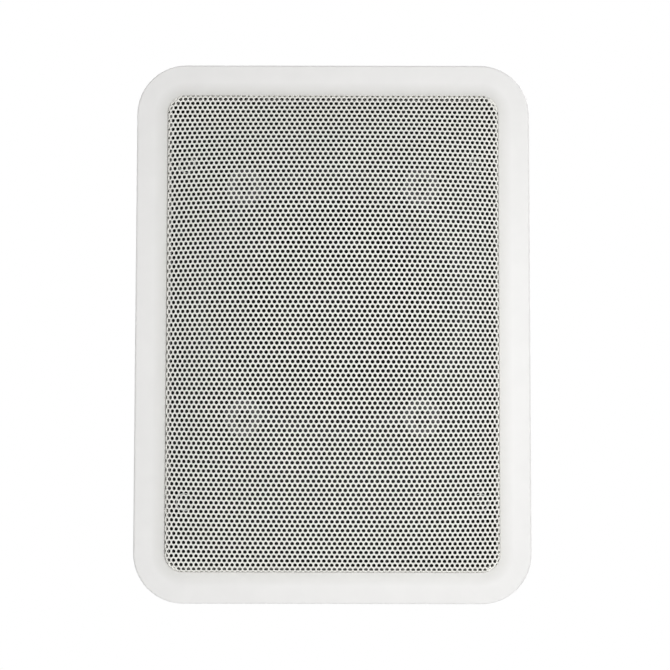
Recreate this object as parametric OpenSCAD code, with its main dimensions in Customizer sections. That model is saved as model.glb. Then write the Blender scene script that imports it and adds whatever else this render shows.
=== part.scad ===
// Rectangular flush-mount loudspeaker for a ceiling or wall.
// The model stands upright: X runs across the flange, Z up it, and the listener is on the -Y side.
// The origin is the centre of the flange's back face, where it meets the ceiling board.
// Every piece is drawn lying down, with z towards the listener, and upright() stands it up.

/* [Flange and collar] */
// Width of the flange
flange_width = 220; // [212:1:230]
// Height of the flange
flange_height = 300; // [290:1:320]
// Corner radius of the flange
flange_corner = 27.7; // [26:0.1:30]
// Height of the flange's face above the ceiling
flange_crest = 5.2; // [4.6:0.1:6.5]
// Radius of the flange's outer edge
edge_rounding = 1.3; // [0.8:0.1:2]
// Chamfer at the mouth of the grille's groove
groove_chamfer = 0.4; // [0.2:0.1:0.8]
// Overlap of the flange round the ceiling cut-out
flange_overlap = 12; // [11:0.5:14]
// Depth of the collar behind the ceiling face
collar_depth = 24; // [18:1:30]
// Wall of the collar
collar_wall = 2.4; // [1.8:0.1:3]
// Wall of the baffle pocket and its ledge
pocket_wall = 2.5; // [2:0.1:3]
// Thickness of the foam seal
seal_thickness = 1.2; // [0.8:0.1:1.4]
// Width of the foam seal
seal_width = 8; // [5:0.5:9]

/* [Grille] */
// Width of the flange's visible border round the grille
grille_border = 18; // [17:0.1:19]
// Thickness of the grille sheet
grille_sheet = 1; // [0.8:0.1:1.2]
// Height of the grille's edge above the ceiling
grille_edge = 9; // [7:0.1:10]
// Rise of the crowned face above its edge
grille_crown = 12; // [8:0.5:14]
// Power of the crown's curve: 2 is a bowl, and more is flatter in the middle
crown_power = 3; // [2:0.5:4]
// Outer radius of the fold at the grille's edge
grille_fold = 2; // [1.4:0.1:2.4]
// Spacing of the perforations
hole_pitch = 8.7; // [8:0.1:12]
// Diameter of the perforations
hole_diameter = 5.3; // [3.5:0.1:6]
// Plain margin between the perforations and the fold
hole_margin = 3.4; // [2.5:0.1:6]
// Height of the grille's groove floor above the ceiling
groove_floor = 1.6; // [1.2:0.1:2]
// Height of the baffle's lip, the groove's inner wall, above the ceiling
groove_lip = 3.2; // [2.6:0.1:4]
// Width of the baffle's lip
lip_width = 2.2; // [1.6:0.1:3]
// Play on each side of the grille's edge in its groove
groove_play = 0.3; // [0.2:0.05:0.4]

/* [Baffle] */
// Thickness of the baffle
baffle_thickness = 3.5; // [3:0.1:4.5]
// Play round the baffle in its pocket
baffle_play = 0.3; // [0.2:0.05:0.5]
// Height of the baffle's stiffening ribs
rib_height = 6; // [3:0.5:8]
// Thickness of the ribs
rib_thickness = 2; // [1.5:0.1:3]
// Diameter of the baffle screws' shanks
baffle_screw = 3; // [2.5:0.1:3.5]
// Head diameter of the baffle screws
baffle_screw_head = 6; // [5:0.5:6.5]
// Head height of the small screws
small_head_height = 2; // [1.6:0.1:2.4]
// Length of the baffle screws' shanks
baffle_screw_length = 9; // [7:0.5:11]
// Gap between the baffle screws' heads and the baffle's lip
baffle_screw_gap = 0.4; // [0.3:0.1:0.8]
// Height of the side screws above and below the centre
side_screw_height = 56; // [54:1:58]
// Distance of the end screws from the centre line
end_screw_offset = 40; // [36:1:46]

/* [Driver] */
// Height of the driver's axis above the flange's centre
driver_rise = 17; // [14:0.5:20]
// Outer diameter of the basket's rim
rim_diameter = 152; // [150:0.5:154]
// Width of the basket's rim, outside the surround's roll
rim_width = 13; // [12:0.5:14]
// Width of the surround's roll
roll_width = 12.5; // [11:0.5:14]
// Thickness of the basket's sheet
basket_sheet = 1.2; // [0.8:0.1:1.5]
// Depth from the rim to the top plate
basket_depth = 41; // [39:0.5:44]
// Number of windows in the basket
basket_windows = 8; // [6:1:10]
// Depth of the cone
cone_depth = 20; // [18:0.5:22]
// Thickness of the cone paper
cone_paper = 0.8; // [0.5:0.1:1]
// Distance of the whizzer cone's free edge inside the cone's edge
whizzer_step = 14.5; // [12.5:0.5:17]
// Diameter of the dust cap
cap_diameter = 27.4; // [27:0.1:30]
// Outer diameter of the voice coil former
former_diameter = 25.8; // [25:0.1:26]
// Wall of the former
former_wall = 0.3; // [0.2:0.05:0.4]
// Thickness of the coil winding
winding = 0.6; // [0.4:0.05:0.7]
// Length of the coil winding
winding_length = 8; // [6:0.5:10]
// Gap between coil and poles
pole_gap = 0.45; // [0.3:0.05:0.6]
// Diameter of the magnet
magnet_diameter = 84; // [76:1:90]
// Thickness of the magnet
magnet_thickness = 16; // [14:1:20]
// Thickness of the top plate
top_plate_thickness = 5; // [4:0.5:6]
// Thickness of the back plate
back_plate_thickness = 6; // [5:0.5:8]
// Distance of the clamping washers' centres outside the rim
washer_reach = 6; // [5.5:0.5:7]
// Angle of the clamping washers above the driver's waist
washer_angle = 52.6; // [46:0.5:56]
// Outer diameter of the clamping washers
washer_diameter = 21; // [19:0.5:22]
// Head diameter of the driver screws
driver_screw_head = 9; // [8:0.5:10]
// Shank diameter of the driver screws
driver_screw = 4; // [3:0.5:4.5]
// Head height of the driver screws
driver_head_height = 3; // [2.4:0.1:3.4]
// Length of the driver screws behind the baffle
driver_screw_tail = 4; // [3:0.5:6]

/* [Clamps] */
// Distance of the clamp screws from the collar's outer side
clamp_inset = 15.5; // [15:0.5:16.5]
// Distance of the clamp screws from the collar's outer end
clamp_from_end = 43; // [40:1:46]
// Shank diameter of the clamp screws
clamp_screw_diameter = 4; // [3.5:0.1:4.5]
// Length of the clamp screws behind the ledge
clamp_screw_length = 55; // [50:1:62]
// Length of a clamp dog from its screw
dog_length = 29; // [27:0.5:30]
// Width of a clamp dog
dog_width = 8; // [6:0.5:9]
// Height of a clamp dog along its screw
dog_height = 12; // [9:0.5:14]
// Running play of the dog in its tower
dog_play = 0.4; // [0.3:0.05:0.6]
// Wall of the clamp towers
tower_wall = 1.8; // [1.4:0.1:2.4]

/* [Terminal cup] */
// Distance of the terminal cup's centre from the collar's lower end
terminal_from_end = 40; // [36:1:44]
// Width of the terminal cup
terminal_width = 52; // [48:1:60]
// Height of the terminal cup
terminal_height = 32; // [30:1:36]
// Depth of the terminal cup behind the baffle
terminal_depth = 20; // [18:1:24]
// Spacing of the two levers
lever_spacing = 22; // [18:0.5:26]
// Width of a lever
lever_width = 12; // [10:0.5:14]
// Thickness of a lever
lever_thickness = 3; // [2.4:0.1:3.6]
// Travel of a lever in degrees
lever_travel = 10; // [6:1:12]
// Diameter of the levers' pin
pin_diameter = 2.4; // [2:0.1:3]
// Diameter of the wire holes
wire_hole = 3; // [2:0.1:3.6]
// Shank diameter of the terminal cup's screws
terminal_screw = 3; // [2.5:0.1:3.2]
// Grip of the terminal cup's screws in the baffle
terminal_screw_grip = 2.5; // [2:0.1:3]
// Head diameter of the terminal cup's screws
terminal_screw_head = 5.6; // [5:0.1:6]
// Distance of the terminal cup's screws from its sides
terminal_screw_inset = 4; // [3.5:0.1:5]
// Diameter of the lead wires with their insulation
lead_diameter = 1.6; // [1.2:0.1:2]

/* [Hidden] */
$fn = 72;

white_plastic = [0.93, 0.93, 0.92];
black_plastic = [0.09, 0.09, 0.1];
steel = [0.75, 0.75, 0.77];
brass = [0.78, 0.62, 0.3];

// Everything round the rim is swept about the same four corner centres, and
// "reach" is a distance outwards from the line that joins those centres.
corner_x = flange_width / 2 - flange_corner;
corner_y = flange_height / 2 - flange_corner;

grille_reach = flange_corner - grille_border;
groove_outer = grille_reach + groove_play;
groove_inner = grille_reach - grille_sheet - groove_play;
pocket_reach = groove_inner;
ledge_reach = 1.5;
collar_outer = flange_corner - flange_overlap;
collar_inner = collar_outer - collar_wall;
collar_x = flange_width / 2 - flange_overlap;
collar_y = flange_height / 2 - flange_overlap;
clamp_x = collar_x - clamp_inset;
clamp_y = collar_y - clamp_from_end;
terminal_drop = collar_y - terminal_from_end;
seal_inner = collar_outer + 1;
baffle_reach = pocket_reach - baffle_play;
baffle_screw_reach = baffle_reach - lip_width - baffle_screw_gap - baffle_screw_head / 2;
ledge_top = -baffle_thickness;
ledge_bottom = ledge_top - pocket_wall;
web_bottom = -1.5;

driver_at = [0, driver_rise, 0];
rim_radius = rim_diameter / 2;
rim_inner = rim_diameter - 2 * rim_width;
cone_edge = rim_inner - 2 * roll_width;
whizzer_edge = cone_edge - 2 * whizzer_step;
washer_circle = rim_diameter + 2 * washer_reach;
rim_play = 0.3;
baffle_hole = rim_inner / 2 + 3.5;
surround_sheet = 0.8;
roll_outer = rim_inner / 2;
roll_inner = cone_edge / 2;
roll_radius = (roll_outer - roll_inner) / 2;
roll_centre = (roll_outer + roll_inner) / 2;
surround_lip = 7;
gasket_thickness = 1.6;
former_radius = former_diameter / 2;
coil_outer = former_radius + winding;
basket_neck = 36.2;
basket_mouth = 20;
ear_clearance = 0.5;
basket_step = baffle_thickness + rib_height + ear_clearance;
window_margin = 2;
plate_top = -basket_depth;
magnet_top = plate_top - top_plate_thickness;
back_top = magnet_top - magnet_thickness;
back_bottom = back_top - back_plate_thickness;
coil_centre = plate_top - top_plate_thickness / 2;
coil_bottom = coil_centre - winding_length / 2;
spider_z = -26.5;
washer_thickness = 1.2;

tower_inner = dog_width / 2 + 2.4;
hub_radius = tower_inner - dog_play;
tower_outer = tower_inner + tower_wall;
tower_base = ledge_bottom - 2;
tower_end = ledge_top - clamp_screw_length + 1;
clamp_head_radius = 4.4;
clamp_head_height = 2.7;
nut_radius = clamp_screw_diameter / 2 + 1.6;
nut_flange = 1;
dog_bottom = tower_end + 2;

pin_y = -terminal_drop - terminal_height / 2 + 8;
pin_z = -baffle_thickness - terminal_depth + 5;
cup_back = -baffle_thickness - terminal_depth;
contact_thickness = 0.5;
contact_length = 16;
lever_shortfall = 9;
slot_floor = cup_back + 9.5;
running_play = 0.08;

// Local z, the way to the listener, becomes -Y, and local y becomes Z.
module upright() {
    rotate([90, 0, 0]) children();
}

module rounded_rectangle(half_x, half_y, radius) {
    square([2 * half_x, 2 * (half_y - radius)], center = true);
    square([2 * (half_x - radius), 2 * half_y], center = true);
    for (sx = [-1, 1])
        for (sy = [-1, 1])
            translate([sx * (half_x - radius), sy * (half_y - radius)])
                circle(r = radius);
}

// A flat plate whose edge lies at the given reach.
module rim_plate(reach, bottom, top) {
    translate([0, 0, bottom])
        linear_extrude(height = top - bottom)
            rounded_rectangle(corner_x + reach, corner_y + reach, reach);
}

// Sweeps a profile, drawn as reach and height, round the four sides and corners.
module rim_sweep() {
    for (turn = [0, 180]) {
        rotate([0, 0, turn]) {
            translate([corner_x, 0, 0])
                rotate([90, 0, 0])
                    linear_extrude(height = 2 * corner_y, center = true) children();
            translate([0, corner_y, 0])
                rotate([0, 0, 90])
                    rotate([90, 0, 0])
                        linear_extrude(height = 2 * corner_x, center = true) children();
            translate([corner_x, corner_y, 0])
                rotate_extrude(angle = 90) children();
            translate([-corner_x, corner_y, 0])
                rotate([0, 0, 90]) rotate_extrude(angle = 90) children();
        }
    }
}

// Points of an arc in the profile plane.
function arc(x, y, rx, ry, from, to, steps) =
    [for (k = [0 : steps]) let (a = from + (to - from) * k / steps) [x + rx * cos(a), y + ry * sin(a)]];

// Clamp places: top left, top right, bottom left, bottom right, seen from the front.
clamp_places = [[-clamp_x, clamp_y], [clamp_x, clamp_y], [-clamp_x, -clamp_y], [clamp_x, -clamp_y]];
// A dog on the right folds up and one on the left folds down, so all swing out clockwise.
function fold_angle(i) = clamp_places[i][0] > 0 ? 90 : 270;

module at_clamp(i) {
    translate([clamp_places[i][0], clamp_places[i][1], 0])
        rotate([0, 0, fold_angle(i)]) children();
}

baffle_screw_places = [for (sy = [-1, 1]) each [
    for (sx = [-1, 1]) [sx * (corner_x + baffle_screw_reach), sy * side_screw_height],
    for (sx = [-1, 1]) [sx * end_screw_offset, sy * (corner_y + baffle_screw_reach)]]];
boss_radius = baffle_screw / 2 + 2.2;
boss_depth = 9;

module frame_profile() {
    polygon(concat(
        [[flange_corner, 0]],
        arc(flange_corner - edge_rounding, flange_crest - edge_rounding,
            edge_rounding, edge_rounding, 0, 90, 6),
        [[groove_outer + groove_chamfer, flange_crest],
         [groove_outer, flange_crest - groove_chamfer],
         [groove_outer, groove_floor],
         [pocket_reach, groove_floor],
         [pocket_reach, ledge_top],
         [ledge_reach, ledge_top],
         [ledge_reach, ledge_bottom],
         [pocket_reach + pocket_wall, ledge_bottom],
         [pocket_reach + pocket_wall, web_bottom],
         [collar_inner, web_bottom],
         [collar_inner, -collar_depth],
         [collar_outer, -collar_depth],
         [collar_outer, 0],
         [seal_inner, 0],
         [seal_inner, seal_thickness],
         [seal_inner + seal_width, seal_thickness],
         [seal_inner + seal_width, 0]]));
}

// The quarter that the dog sweeps, from folded round to swung out, as an open sector.
dog_swing = 90;
sweep_margin = 5;
module dog_sweep_sector(radius, bottom, top) {
    half = asin(min(1, dog_width / 2 / tower_inner)) + sweep_margin;
    translate([0, 0, bottom])
        linear_extrude(height = top - bottom)
            polygon(concat([[0, 0]],
                [for (k = [0 : 6])
                    let (a = half - (dog_swing + 2 * half) * k / 6)
                    radius * [cos(a), sin(a)]]));
}

module clamp_tower() {
    difference() {
        translate([0, 0, tower_end]) cylinder(r = tower_outer, h = ledge_top - tower_end);
        translate([0, 0, tower_end - 1]) cylinder(r = tower_inner, h = tower_base - tower_end + 1);
        dog_sweep_sector(2 * tower_outer, tower_end - 1, tower_base);
    }
}

module front_frame() {
    color(white_plastic)
    difference() {
        union() {
            rim_sweep() frame_profile();
            for (i = [0 : 3])
                at_clamp(i) clamp_tower();
            for (p = baffle_screw_places)
                translate([p[0], p[1], ledge_bottom - boss_depth + pocket_wall])
                    cylinder(r = boss_radius, h = boss_depth);
        }
        for (i = [0 : 3])
            at_clamp(i) {
                translate([0, 0, tower_end - 1])
                    cylinder(d = clamp_screw_diameter + 0.4, h = ledge_top - tower_end + 2);
                // The window in the collar that the dog swings through.
                dog_sweep_sector(dog_length + 1, -collar_depth - 1, tower_base);
            }
        for (p = baffle_screw_places)
            translate([p[0], p[1], ledge_top - boss_depth])
                cylinder(d = baffle_screw, h = boss_depth + 1);
    }
}

module flange_seal() {
    color([0.2, 0.2, 0.21])
    rim_sweep()
        translate([seal_inner, 0]) square([seal_width, seal_thickness]);
}

// One closed ring of the grille's surface, scaled towards the centre by "share".
ring_steps = 3;
function ring_outline(reach) = [
    for (c = [0 : 3]) for (k = [0 : ring_steps])
        let (a = 90 * c + 90 * k / ring_steps)
        [(c == 0 || c == 3 ? 1 : -1) * corner_x + reach * cos(a),
         (c < 2 ? 1 : -1) * corner_y + reach * sin(a)]];
// The crown falls to nothing at all four edges.
crown_reach = grille_reach - grille_fold;
function crown(p) =
    grille_crown * (1 - pow(abs(p[0]) / (corner_x + crown_reach), crown_power))
        * (1 - pow(abs(p[1]) / (corner_y + crown_reach), crown_power));
function crown_ring(share, reach, drop) = [
    for (p = ring_outline(reach)) [p[0] * share, p[1] * share, grille_edge + crown(p * share) - drop]];
function level_ring(reach, height) = [for (p = ring_outline(reach)) [p[0], p[1], height]];

grille_shares = [0.92, 0.75, 0.45];

function grille_surface(drop) = concat(
    [level_ring(grille_reach - drop, groove_floor)],
    [for (k = [0 : 2]) let (a = 45 * k, r = grille_fold - drop)
        level_ring(crown_reach + r * cos(a), grille_edge - grille_fold + r * sin(a))],
    [for (s = grille_shares) crown_ring(s, crown_reach, drop)]);

module grille_shell() {
    outer = grille_surface(0);
    inner = grille_surface(grille_sheet);
    rings = len(outer);
    m = len(outer[0]);
    points = concat([for (r = outer) each r], [for (r = inner) each r],
        [[0, 0, grille_edge + grille_crown], [0, 0, grille_edge + grille_crown - grille_sheet]]);
    half = rings * m;
    faces = concat(
        [for (k = [0 : rings - 2]) for (i = [0 : m - 1]) let (j = (i + 1) % m) each [
            [k * m + i, (k + 1) * m + i, (k + 1) * m + j],
            [k * m + i, (k + 1) * m + j, k * m + j],
            [half + k * m + i, half + (k + 1) * m + j, half + (k + 1) * m + i],
            [half + k * m + i, half + k * m + j, half + (k + 1) * m + j]]],
        [for (i = [0 : m - 1]) let (j = (i + 1) % m) each [
            [(rings - 1) * m + i, 2 * half, (rings - 1) * m + j],
            [half + (rings - 1) * m + i, half + (rings - 1) * m + j, 2 * half + 1],
            [i, j, half + j],
            [i, half + j, half + i]]]);
    polyhedron(points = points, faces = faces, convexity = 6);
}

module perforations() {
    row = hole_pitch * sin(60);
    reach_x = corner_x + crown_reach - hole_margin - hole_diameter / 2;
    reach_y = corner_y + crown_reach - hole_margin - hole_diameter / 2;
    rows = floor(reach_y / row);
    for (r = [-rows : rows]) {
        shift = (abs(r) % 2) / 2;
        columns = floor(reach_x / hole_pitch - shift);
        for (c = [-columns - 2 * shift : columns])
            translate([(c + shift) * hole_pitch, r * row, groove_floor])
                cylinder(d = hole_diameter, h = grille_edge + grille_crown, $fn = 24);
    }
}

module grille() {
    color([0.92, 0.92, 0.9])
    difference() {
        grille_shell();
        perforations();
    }
}

// Height above the driver's axis at which an upright rib meets the round one.
function rib_meeting(x) = sqrt(pow(baffle_hole + rib_thickness / 2, 2) - x * x);

rib_end_gap = 2;
lower_rib_x = terminal_width / 2 + 6;
upper_rib_x = 30;

module baffle_ribs() {
    bottom = ledge_top - rib_height;
    rib_end = corner_y - rib_end_gap;
    translate([0, driver_rise, bottom])
        difference() {
            cylinder(r = baffle_hole + rib_thickness, h = rib_height);
            translate([0, 0, -1]) cylinder(r = baffle_hole, h = rib_height + 2);
        }
    for (sx = [-1, 1]) {
        translate([sx * lower_rib_x - rib_thickness / 2, -rib_end, bottom])
            cube([rib_thickness, rib_end + driver_rise - rib_meeting(lower_rib_x), rib_height]);
        translate([sx * upper_rib_x - rib_thickness / 2, driver_rise + rib_meeting(upper_rib_x), bottom])
            cube([rib_thickness, rib_end - driver_rise - rib_meeting(upper_rib_x), rib_height]);
    }
}

module baffle() {
    color(black_plastic)
    difference() {
        union() {
            rim_plate(baffle_reach, ledge_top, groove_lip);
            baffle_ribs();
        }
        rim_plate(baffle_reach - lip_width, 0, groove_lip + 1);
        translate([0, driver_rise, ledge_top - rib_height - 1])
            cylinder(r = baffle_hole, h = rib_height + baffle_thickness + 2);
        translate([0, driver_rise, -basket_sheet])
            cylinder(r = rim_radius + rim_play, h = basket_sheet + 1);
        for (i = [0 : 3])
            at_clamp(i) translate([0, 0, ledge_top - 1])
                cylinder(r = clamp_head_radius + 0.8, h = baffle_thickness + 2);
        for (p = baffle_screw_places)
            translate([p[0], p[1], ledge_top - 1])
                cylinder(d = baffle_screw + 0.6, h = baffle_thickness + 2);
        at_washers() translate([0, 0, ledge_top - 1])
            cylinder(d = driver_screw, h = baffle_thickness + 2);
        at_terminal_screws() translate([0, 0, ledge_top - 1])
            cylinder(d = terminal_screw, h = terminal_screw_grip + 1.2);
    }
}

module at_terminal_screws() {
    for (sx = [-1, 1])
        translate([sx * (terminal_width / 2 - terminal_screw_inset), terminal_height / 4 - terminal_drop, 0])
            children();
}

// A pan head with a cross recess on a plain shank, drawn with the head's seat at z = 0.
module pan_screw(shank, head, head_height, length) {
    difference() {
        union() {
            cylinder(d = head, h = head_height * 0.45);
            translate([0, 0, head_height * 0.45])
                cylinder(d1 = head, d2 = head * 0.62, h = head_height * 0.55);
            translate([0, 0, -length]) cylinder(d = shank, h = length);
        }
        for (turn = [0, 90])
            rotate([0, 0, turn])
                translate([-head * 0.27, -head * 0.06, head_height * 0.4])
                    cube([head * 0.54, head * 0.12, head_height]);
    }
}

module baffle_screws() {
    color([0.15, 0.15, 0.16])
    for (p = baffle_screw_places)
        translate([p[0], p[1], 0])
            pan_screw(baffle_screw, baffle_screw_head, small_head_height, baffle_screw_length);
}

module at_washers() {
    for (sx = [-1, 1])
        for (sy = [-1, 1])
            translate([sx * washer_circle / 2 * cos(washer_angle),
                driver_rise + sy * washer_circle / 2 * sin(washer_angle), 0])
                children();
}

module driver_washers() {
    color(steel)
    at_washers() difference() {
        cylinder(d = washer_diameter, h = washer_thickness);
        translate([0, 0, -1]) cylinder(d = driver_screw + 0.4, h = washer_thickness + 2);
    }
}

module driver_screws() {
    color([0.12, 0.12, 0.13])
    at_washers() translate([0, 0, washer_thickness])
        pan_screw(driver_screw, driver_screw_head, driver_head_height,
            washer_thickness + baffle_thickness + driver_screw_tail);
}

module basket_profile() {
    t = basket_sheet;
    wall = roll_outer + 1.7;
    polygon([
        [rim_radius, 0], [roll_outer + 0.5, 0], [roll_outer + 0.5, -basket_step],
        [basket_neck + 2.8, spider_z], [basket_neck - t, spider_z],
        [basket_neck - t, plate_top + t], [basket_mouth, plate_top + t], [basket_mouth, plate_top],
        [basket_neck, plate_top], [basket_neck, spider_z - t], [basket_neck + 3.3, spider_z - t],
        [wall, -basket_step - 0.4], [wall, -t], [rim_radius, -t]]);
}

module basket() {
    window = 360 / basket_windows;
    strut = 20;
    ear_width = strip_size[0] + 2;
    color([0.16, 0.16, 0.17])
    translate(driver_at)
    difference() {
        union() {
            rotate_extrude() basket_profile();
            // The ear that carries the terminal strip, bent out from the wall.
            translate([-ear_width / 2, -roll_outer - 10, -basket_step - basket_sheet])
                cube([ear_width, 9.6, basket_sheet]);
        }
        for (k = [0 : basket_windows - 1])
            rotate([0, 0, window * k])
                translate([0, 0, spider_z + window_margin])
                    linear_extrude(height = -basket_step - spider_z - 2 * window_margin)
                        polygon([for (a = [strut / 2 : (window - strut) / 4 : window - strut / 2])
                                rim_radius * [cos(a - 90), sin(a - 90)],
                            (basket_neck - 4) * [cos(window - strut - 90), sin(window - strut - 90)],
                            (basket_neck - 4) * [cos(strut - 90), sin(strut - 90)]]);
    }
}

module gasket_ring() {
    color([0.3, 0.27, 0.22])
    translate(driver_at)
        rotate_extrude()
            translate([roll_outer + 1.5, surround_sheet]) square([6, gasket_thickness]);
}

module surround_profile() {
    t = surround_sheet;
    difference() {
        translate([roll_centre, t / 2]) circle(r = roll_radius + t / 2);
        translate([roll_centre, t / 2]) circle(r = roll_radius - t / 2);
        translate([0, -rim_inner]) square(rim_inner);
    }
    translate([roll_outer - t / 2, 0]) square([surround_lip, t]);
    translate([roll_inner - 3, 0]) square([3 + t / 2, t]);
}

module surround() {
    color([0.28, 0.28, 0.28])
    translate(driver_at) rotate_extrude() surround_profile();
}

module cone() {
    throat = former_radius;
    edge = roll_inner;
    curve = [for (k = [0 : 6]) let (u = k / 6)
        [throat + (edge - 3 - throat) * u, -cone_depth + (cone_depth - 0.5) * (1 - pow(1 - u, 1.25))]];
    color([0.13, 0.13, 0.13])
    translate(driver_at)
        rotate_extrude()
            polygon(concat(
                [for (p = curve) [p[0], p[1]]],
                [[edge - 2.5, 0], [edge, 0], [edge, -cone_paper], [edge - 2.5, -cone_paper]],
                [for (k = [6 : -1 : 0]) [curve[k][0] + (k == 0 ? 0 : 0.3), curve[k][1] - cone_paper - 0.2]]));
}

module whizzer_cone() {
    throat = former_radius + 0.6;
    edge = whizzer_edge / 2;
    foot = -cone_depth + 1.6;
    rise = 16.5;
    t = 0.5;
    curve = [for (k = [0 : 6]) let (u = k / 6)
        [throat + (edge - throat) * u, foot + rise * pow(u, 0.72)]];
    color([0.3, 0.3, 0.3])
    translate(driver_at)
        rotate_extrude()
            polygon(concat(
                curve,
                [for (k = [6 : -1 : 0]) [curve[k][0] + t * 0.7, curve[k][1] - t * 0.7]]));
}

module dust_cap() {
    radius = cap_diameter / 2;
    rise = 5;
    t = 0.6;
    dome = (radius * radius + rise * rise) / (2 * rise);
    seat = -cone_depth + 3.4;
    half = asin(radius / dome);
    color([0.12, 0.12, 0.12])
    translate(driver_at) translate([0, 0, seat])
        rotate_extrude()
            polygon(concat(
                [for (k = [0 : 8]) let (a = half * k / 8)
                    [dome * sin(a), dome * cos(a) - dome + rise]],
                [for (k = [8 : -1 : 0]) let (a = half * k / 8)
                    [(dome - t) * sin(a), (dome - t) * cos(a) - dome + rise]]));
}

module voice_coil_former() {
    color(brass)
    translate(driver_at) translate([0, 0, coil_bottom])
        difference() {
            cylinder(r = former_radius, h = -cone_depth + 2.6 - coil_bottom);
            translate([0, 0, -1])
                cylinder(r = former_radius - former_wall, h = -cone_depth - coil_bottom + 5);
        }
}

module voice_coil() {
    color([0.72, 0.38, 0.2])
    translate(driver_at) translate([0, 0, coil_bottom])
        difference() {
            cylinder(r = coil_outer, h = winding_length);
            translate([0, 0, -1]) cylinder(r = former_radius, h = winding_length + 2);
        }
}

// A corrugated disc between the former and the basket's ledge.
module spider() {
    t = 0.5;
    waves = 4;
    inner = former_radius;
    outer = basket_neck + 2.4;
    land = 4.5;
    steps = 8 * waves;
    wave = [for (k = [0 : steps]) let (u = k / steps)
        [inner + 1.5 + (outer - land - inner - 1.5) * u, spider_z + 0.9 - 0.9 * cos(360 * waves * u)]];
    color([0.75, 0.62, 0.4])
    translate(driver_at)
        rotate_extrude()
            polygon(concat(
                [[inner, spider_z]], wave, [[outer, spider_z], [outer, spider_z + t]],
                [for (k = [steps : -1 : 0]) [wave[k][0], wave[k][1] + t]],
                [[inner, spider_z + t]]));
}

module top_plate() {
    color(steel)
    translate(driver_at) translate([0, 0, magnet_top])
        difference() {
            cylinder(d = magnet_diameter - 12, h = top_plate_thickness);
            translate([0, 0, -1]) cylinder(r = coil_outer + pole_gap, h = top_plate_thickness + 2);
        }
}

module magnet() {
    color([0.2, 0.2, 0.21])
    translate(driver_at) translate([0, 0, back_top])
        difference() {
            cylinder(d = magnet_diameter, h = magnet_thickness);
            translate([0, 0, -1]) cylinder(r = coil_outer + 5, h = magnet_thickness + 2);
        }
}

module back_plate() {
    pole = former_radius - former_wall - pole_gap;
    color(steel)
    translate(driver_at)
        rotate_extrude()
            polygon([
                [4, back_bottom], [magnet_diameter / 2 - 6, back_bottom],
                [magnet_diameter / 2 - 4, back_bottom + 2], [magnet_diameter / 2 - 4, back_top],
                [pole, back_top], [pole, plate_top - 0.6], [pole - 0.6, plate_top],
                [4, plate_top]]);
}

strip_at = [0, driver_rise - roll_outer - 6.2, -basket_step - basket_sheet];
strip_size = [16, 6, 1.6];
tag_offset = 5;
tag_width = 3.2;
tag_sheet = 0.5;
tag_blade = 7;
tag_blade_y = 1.9;
tag_hole = 1.4;
tag_hole_rise = 1.8;

module terminal_strip() {
    color([0.45, 0.3, 0.16])
    translate(strip_at - [strip_size[0] / 2, strip_size[1] / 2, strip_size[2]]) cube(strip_size);
}

module solder_tags() {
    color(brass)
    translate(strip_at)
        for (sx = [-1, 1])
            translate([sx * tag_offset, 0, -strip_size[2]]) {
                translate([-tag_width / 2, -tag_blade_y - tag_sheet, -tag_sheet])
                    cube([tag_width, 2 * (tag_blade_y + tag_sheet), tag_sheet]);
                translate([-tag_width / 2, tag_blade_y, -tag_blade])
                    difference() {
                        cube([tag_width, tag_sheet, tag_blade - tag_sheet]);
                        translate([tag_width / 2, 1, tag_hole_rise])
                            rotate([90, 0, 0]) cylinder(d = tag_hole, h = 2);
                    }
            }
}

module terminal_cup() {
    low = -terminal_drop - terminal_height / 2;
    color(black_plastic)
    difference() {
        translate([-terminal_width / 2, low, cup_back])
            cube([terminal_width, terminal_height, terminal_depth]);
        for (sx = [-1, 1])
            translate([sx * lever_spacing / 2, 0, 0]) {
                translate([-lever_width / 2 - 0.3, pin_y - 4, cup_back - 1])
                    cube([lever_width + 0.6, terminal_height, slot_floor - cup_back + 1]);
                // The wire goes in from below, past the pin, to the contact.
                translate([0, low - 1, slot_floor + 1.6 - wire_hole])
                    rotate([-90, 0, 0]) cylinder(d = wire_hole, h = pin_y - 3 - low);
            }
        translate([-terminal_width / 2 - 1, pin_y, pin_z])
            rotate([0, 90, 0]) cylinder(d = pin_diameter, h = terminal_width + 2);
        at_terminal_screws() translate([0, 0, cup_back - 1])
            cylinder(d = terminal_screw + 0.4, h = terminal_depth + 2);
    }
}

module terminal_screws() {
    color(steel)
    at_terminal_screws() translate([0, 0, cup_back])
        mirror([0, 0, 1])
            pan_screw(terminal_screw, terminal_screw_head, small_head_height,
                terminal_depth + terminal_screw_grip);
}

module terminal_contacts() {
    color(brass)
    for (sx = [-1, 1])
        translate([sx * lever_spacing / 2 - 3, pin_y + 4, slot_floor]) {
            mirror([0, 0, 1]) cube([6, contact_length, contact_thickness]);
            translate([0, 4, -2.2]) cube([6, contact_thickness, 2.2 - contact_thickness]);
        }
}

// A point of the smooth curve through the points p, a share t of the way from p[i] to p[i + 1].
function curve_point(p, i, t) =
    let (a = p[max(i - 1, 0)], b = p[i], c = p[i + 1], d = p[min(i + 2, len(p) - 1)])
    0.5 * (2 * b + (c - a) * t + (2 * a - 5 * b + 4 * c - d) * t * t
        + (3 * b - a - 3 * c + d) * t * t * t);

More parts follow.
